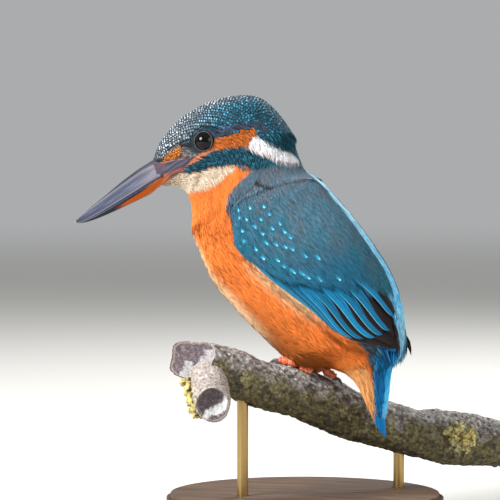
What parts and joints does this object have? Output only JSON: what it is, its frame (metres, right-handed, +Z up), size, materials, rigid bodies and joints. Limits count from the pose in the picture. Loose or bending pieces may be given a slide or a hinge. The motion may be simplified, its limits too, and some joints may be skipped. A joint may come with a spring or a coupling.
{
  "type": "kingfisher on a cut branch, museum model",
  "caption": "Life-size common kingfisher with folded wings, gripping a short cut branch held on rods above a flat round base.",
  "frame": {"origin": "centre of the underside of the stand's base", "axes": "+Z up, the bird's body looks along -Y, its left side is at +X and its head is turned a little to its left"},
  "size_m": [0.1091, 0.1501, 0.1524],
  "materials": {
    "crown_feathers": "soft, scaly feathers, dark blue-green with pale turquoise bars",
    "back_feathers": "soft feathers, brilliant azure",
    "breast_feathers": "soft, hair-like feathers, warm orange",
    "wing_feathers": "smooth feathers, dusky blue-green with small azure spots",
    "flight_feathers": "smooth vaned feathers, blue outer webs and dusky inner webs",
    "bill_black": "horn with a satin sheen",
    "bill_orange": "horn with a satin sheen, orange-red towards the face",
    "eye": "polished, almost black",
    "foot_red": "scaly skin, coral red",
    "claw": "dark horn",
    "bark": "rough grey bark with lichen and algae, weathered cut ends",
    "stand_wood": "dark stained hardwood, satin lacquer",
    "stand_metal": "brushed, dark patina"
  },
  "bodies": {
    "root": {"bill_lower": "bill_orange", "bill_upper": "bill_black", "claw_left_hind": "claw", "claw_left_inner": "claw", "claw_left_middle": "claw", "claw_left_outer": "claw", "claw_right_hind": "claw", "claw_right_inner": "claw", "claw_right_middle": "claw", "claw_right_outer": "claw", "eye_left": "eye", "eye_right": "eye", "foot_left": "foot_red", "foot_right": "foot_red", "head": "crown_feathers", "leg_left": "foot_red", "leg_right": "foot_red", "neck": "crown_feathers", "perch": "bark", "perch_stub": "bark", "stand_base": "stand_wood", "stand_rod_back": "stand_metal", "stand_rod_front": "stand_metal", "tail": "flight_feathers", "tail_coverts_under": "breast_feathers", "tail_coverts_upper": "back_feathers", "trunk": "breast_feathers", "wing_left_coverts": "wing_feathers", "wing_left_primaries": "flight_feathers", "wing_left_scapulars": "wing_feathers", "wing_left_secondaries": "flight_feathers", "wing_left_tertials": "flight_feathers", "wing_right_coverts": "wing_feathers", "wing_right_primaries": "flight_feathers", "wing_right_scapulars": "wing_feathers", "wing_right_secondaries": "flight_feathers", "wing_right_tertials": "flight_feathers"}
  },
  "joints": []
}
